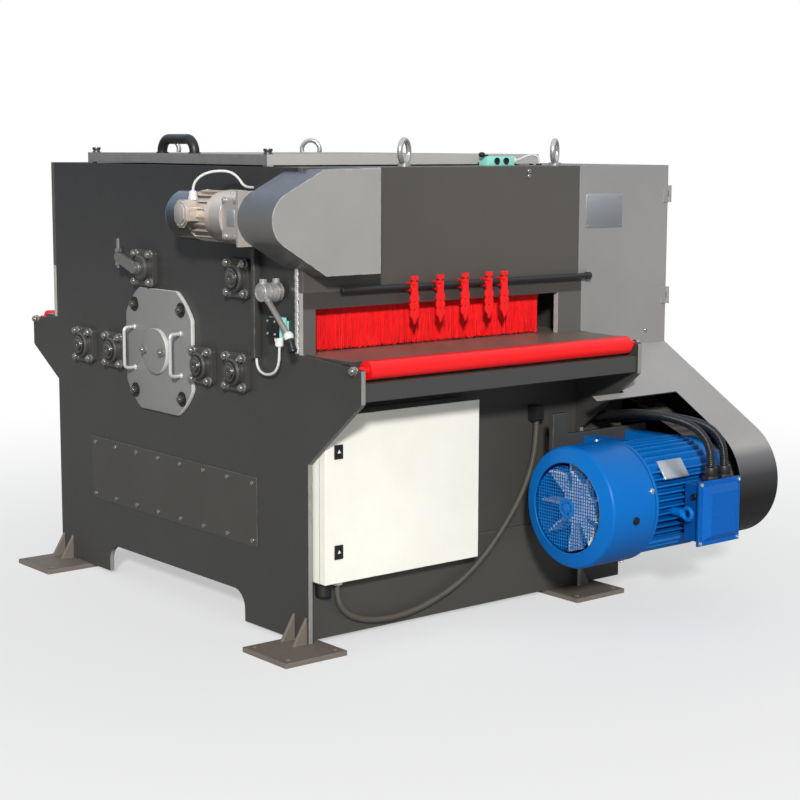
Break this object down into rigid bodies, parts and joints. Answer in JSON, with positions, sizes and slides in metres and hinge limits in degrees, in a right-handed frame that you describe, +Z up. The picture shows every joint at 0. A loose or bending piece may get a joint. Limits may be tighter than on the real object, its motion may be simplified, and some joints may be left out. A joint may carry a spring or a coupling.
{
  "type": "board edger",
  "caption": "Floor-standing board edger: roller-fed throat between thick side plates, belt-driven saw arbor, hinged lid, sliding pointers, control cabinet and guarded drive.",
  "frame": {"origin": "on the floor, under the middle of the machine's bounding box without its cords", "axes": "+X to the right as seen from the infeed, +Y along the feed, +Z up"},
  "size_m": [1.7504, 2.276, 1.517],
  "materials": {
    "dark_frame_paint": "satin charcoal paint",
    "table_steel": "worn brownish steel",
    "grey_panel_paint": "satin mid grey paint",
    "light_grey_paint": "satin light grey paint",
    "cream_paint": "textured cream powder coat",
    "red_paint": "gloss red paint",
    "red_bristle": "red bristles",
    "bright_steel": "turned steel",
    "cast_bearing": "painted casting",
    "belt_rubber": "matt black rubber",
    "blue_paint": "gloss blue paint",
    "rotor_steel": "machined steel",
    "grey_blue_paint": "satin grey-blue paint",
    "bare_aluminium": "bare casting",
    "mint_plastic": "moulded plastic",
    "black_plastic": "moulded plastic",
    "black_conduit": "ribbed plastic hose",
    "cable_rubber": "smooth cable sheath"
  },
  "bodies": {
    "frame": {"left_side_plate": "dark_frame_paint", "right_side_plate": "dark_frame_paint", "throat_frames": "dark_frame_paint", "base_panels": "dark_frame_paint", "cross_beams": "dark_frame_paint", "foot_plates": "dark_frame_paint", "hood_shell": "dark_frame_paint", "feed_tables": "table_steel", "belt_housing": "grey_panel_paint", "belt_guard": "grey_panel_paint", "drive_cover": "light_grey_paint", "arbor_cover": "light_grey_paint", "cabinet_body": "cream_paint", "infeed_brush": "red_bristle", "pointer_rail": "bright_steel", "fasteners": "bright_steel", "eye_bolts": "bright_steel", "bearing_housings": "cast_bearing", "belts_and_chains": "belt_rubber", "motor_frame": "blue_paint", "motor_fan_cover": "blue_paint", "motor_terminal_box": "blue_paint", "feed_motor": "grey_blue_paint", "gear_housings": "bare_aluminium", "safety_switches": "mint_plastic", "cable_fittings": "black_plastic", "cabinet_conduit": "black_conduit", "motor_conduit_front": "black_conduit", "motor_conduit_rear": "black_conduit", "feed_motor_cable": "cable_rubber", "lever_switch_cable": "cable_rubber", "lid_switch_cable": "cable_rubber"},
    "lid": {"top_lid": "grey_panel_paint", "lid_handle": "black_plastic"},
    "belt_door": {"belt_door": "grey_panel_paint"},
    "cabinet_door": {"cabinet_door": "cream_paint"},
    "lock_upper": {"door_lock_upper": "black_plastic"},
    "lock_lower": {"door_lock_lower": "black_plastic"},
    "arbor": {"arbor_shaft": "bright_steel", "saw_blades": "bright_steel"},
    "motor_rotor": {"motor_rotor": "rotor_steel"},
    "infeed_idler": {"infeed_idler_roller": "red_paint"},
    "outfeed_idler": {"outfeed_idler_roller": "red_paint"},
    "kickback_lever": {"kickback_lever": "bright_steel"},
    "input_sprocket": {"feed_input_sprocket": "bright_steel"},
    "driven_sprocket": {"feed_driven_sprocket": "bright_steel"},
    "cross_shaft": {"cross_shaft": "bright_steel"},
    "swing_arm_front": {"swing_arm_front": "bright_steel"},
    "swing_arm_rear": {"swing_arm_rear": "bright_steel"},
    "upper_roller_front": {"upper_feed_roller_front": "bright_steel"},
    "upper_roller_rear": {"upper_feed_roller_rear": "bright_steel"},
    "lower_roller_1": {"lower_feed_roller_1": "bright_steel"},
    "lower_roller_2": {"lower_feed_roller_2": "bright_steel"},
    "lower_roller_3": {"lower_feed_roller_3": "bright_steel"},
    "lower_roller_4": {"lower_feed_roller_4": "bright_steel"},
    "pointer_1": {"pointer_1": "red_paint"},
    "pointer_2": {"pointer_2": "red_paint"},
    "pointer_3": {"pointer_3": "red_paint"},
    "pointer_4": {"pointer_4": "red_paint"},
    "pointer_5": {"pointer_5": "red_paint"}
  },
  "joints": [
    {"name": "lid_hinge", "type": "hinge", "parent": "frame", "child": "lid", "pos_m": [0.43685, 0.197, 1.429], "axis": [0, 1, 0], "range_deg": [0, 95]},
    {"name": "belt_door_hinge", "type": "hinge", "parent": "frame", "child": "belt_door", "pos_m": [0.86115, -0.529, 1.121], "axis": [0, 0, -1], "range_deg": [0, 110]},
    {"name": "cabinet_door_hinge", "type": "hinge", "parent": "frame", "child": "cabinet_door", "pos_m": [-0.07715, -0.588, 0.452], "axis": [0, 0, 1], "range_deg": [0, 95]},
    {"name": "lock_upper_turn", "type": "hinge", "parent": "cabinet_door", "child": "lock_upper", "pos_m": [-0.62115, -0.593, 0.596], "axis": [0, 1, 0], "range_deg": [0, 90]},
    {"name": "lock_lower_turn", "type": "hinge", "parent": "cabinet_door", "child": "lock_lower", "pos_m": [-0.62115, -0.593, 0.296], "axis": [0, 1, 0], "range_deg": [0, 90]},
    {"name": "arbor_spin", "type": "hinge", "parent": "frame", "child": "arbor", "pos_m": [-0.09015, 0.254, 0.82], "axis": [1, 0, 0], "continuous": true},
    {"name": "motor_spin", "type": "hinge", "parent": "frame", "child": "motor_rotor", "pos_m": [0.40985, -0.865, 0.383], "axis": [1, 0, 0], "continuous": true},
    {"name": "lower_roller_1_spin", "type": "hinge", "parent": "frame", "child": "lower_roller_1", "pos_m": [-0.13015, -0.198, 0.798], "axis": [-1, 0, 0], "continuous": true},
    {"name": "lower_roller_2_spin", "type": "hinge", "parent": "frame", "child": "lower_roller_2", "pos_m": [-0.13015, -0.008, 0.798], "axis": [-1, 0, 0], "continuous": true},
    {"name": "lower_roller_3_spin", "type": "hinge", "parent": "frame", "child": "lower_roller_3", "pos_m": [-0.13015, 0.534, 0.798], "axis": [-1, 0, 0], "continuous": true},
    {"name": "lower_roller_4_spin", "type": "hinge", "parent": "frame", "child": "lower_roller_4", "pos_m": [-0.13015, 0.737, 0.798], "axis": [-1, 0, 0], "continuous": true},
    {"name": "cross_shaft_spin", "type": "hinge", "parent": "frame", "child": "cross_shaft", "pos_m": [-0.09015, -0.398, 1.273], "axis": [-1, 0, 0], "continuous": true},
    {"name": "driven_sprocket_spin", "type": "hinge", "parent": "frame", "child": "driven_sprocket", "pos_m": [-0.61415, -0.528, 1.273], "axis": [0, 1, 0], "continuous": true},
    {"name": "input_sprocket_spin", "type": "hinge", "parent": "frame", "child": "input_sprocket", "pos_m": [-0.77115, -0.508, 1.273], "axis": [0, 1, 0], "continuous": true},
    {"name": "swing_arm_front_pivot", "type": "hinge", "parent": "frame", "child": "swing_arm_front", "pos_m": [-0.13015, -0.213, 1.085], "axis": [1, 0, 0], "range_deg": [0, 28]},
    {"name": "upper_roller_front_spin", "type": "hinge", "parent": "swing_arm_front", "child": "upper_roller_front", "pos_m": [-0.13015, 0.005, 0.965], "axis": [1, 0, 0], "continuous": true},
    {"name": "swing_arm_rear_pivot", "type": "hinge", "parent": "frame", "child": "swing_arm_rear", "pos_m": [-0.13015, 0.332, 1.085], "axis": [1, 0, 0], "range_deg": [0, 28]},
    {"name": "upper_roller_rear_spin", "type": "hinge", "parent": "swing_arm_rear", "child": "upper_roller_rear", "pos_m": [-0.13015, 0.55, 0.965], "axis": [1, 0, 0], "continuous": true},
    {"name": "infeed_idler_spin", "type": "hinge", "parent": "frame", "child": "infeed_idler", "pos_m": [-0.13015, -0.772, 0.856], "axis": [-1, 0, 0], "continuous": true},
    {"name": "outfeed_idler_spin", "type": "hinge", "parent": "frame", "child": "outfeed_idler", "pos_m": [-0.13015, 1.108, 0.856], "axis": [-1, 0, 0], "continuous": true},
    {"name": "kickback_lever_turn", "type": "hinge", "parent": "frame", "child": "kickback_lever", "pos_m": [-0.13015, -0.422, 1.058], "axis": [1, 0, 0], "range_deg": [0, 50]},
    {"name": "pointer_1_slide", "type": "slide", "parent": "frame", "child": "pointer_1", "axis": [1, 0, 0], "range_m": [-0.2, 0.033]},
    {"name": "pointer_2_slide", "type": "slide", "parent": "frame", "child": "pointer_2", "axis": [1, 0, 0], "range_m": [-0.033, 0.033]},
    {"name": "pointer_3_slide", "type": "slide", "parent": "frame", "child": "pointer_3", "axis": [1, 0, 0], "range_m": [-0.033, 0.032]},
    {"name": "pointer_4_slide", "type": "slide", "parent": "frame", "child": "pointer_4", "axis": [1, 0, 0], "range_m": [-0.032, 0.015]},
    {"name": "pointer_5_slide", "type": "slide", "parent": "frame", "child": "pointer_5", "axis": [1, 0, 0], "range_m": [-0.015, 0.31]}
  ],
  "couplings": [
    {"joint": "motor_spin", "follows": "arbor_spin", "ratio": 0.90909},
    {"joint": "lower_roller_2_spin", "follows": "lower_roller_1_spin", "ratio": 1},
    {"joint": "lower_roller_3_spin", "follows": "lower_roller_1_spin", "ratio": 1},
    {"joint": "lower_roller_4_spin", "follows": "lower_roller_1_spin", "ratio": 1},
    {"joint": "cross_shaft_spin", "follows": "lower_roller_1_spin", "ratio": 1},
    {"joint": "driven_sprocket_spin", "follows": "lower_roller_1_spin", "ratio": 1},
    {"joint": "input_sprocket_spin", "follows": "lower_roller_1_spin", "ratio": 2.4762}
  ]
}
